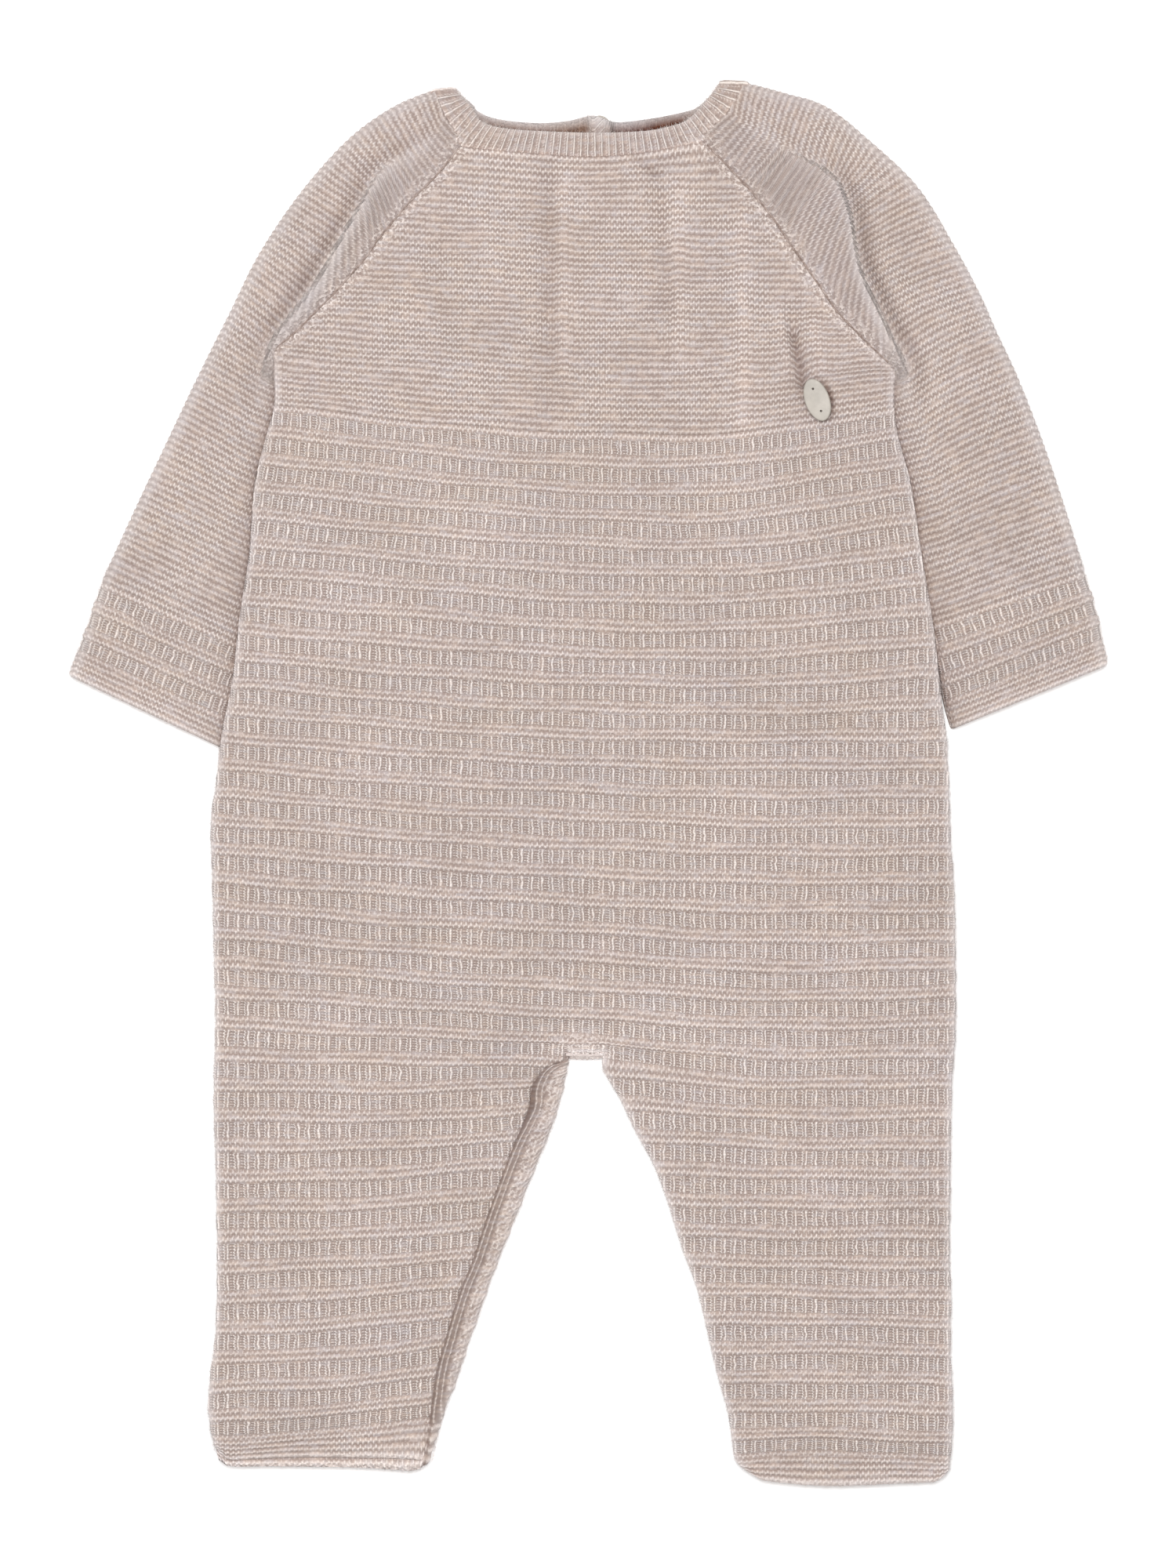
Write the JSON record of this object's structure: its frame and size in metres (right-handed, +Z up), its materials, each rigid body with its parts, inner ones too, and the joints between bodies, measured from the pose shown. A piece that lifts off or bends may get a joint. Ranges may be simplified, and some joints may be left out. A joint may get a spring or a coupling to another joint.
{
  "type": "baby romper",
  "caption": "Knitted baby romper with raglan sleeves, long legs, ribbed neckband and an oval button on the front, laid flat on its back.",
  "frame": {"origin": "under the middle of the garment's outline, on the surface that it lies on", "axes": "+Z up out of the front of the garment, +Y from the legs to the neck, +X to the viewer's right, which is the wearer's left"},
  "size_m": [0.3544, 0.4786, 0.0092],
  "materials": {
    "melange_knit": "soft melange wool knit",
    "rib_knit": "soft melange wool rib",
    "button_resin": "satin"
  },
  "bodies": {
    "root": {"front_panel": "melange_knit", "back_panel": "melange_knit", "sleeve_right": "melange_knit", "sleeve_left": "melange_knit", "neckband": "rib_knit", "crotch_gusset": "melange_knit", "oval_button": "button_resin", "back_button": "button_resin"}
  },
  "joints": []
}
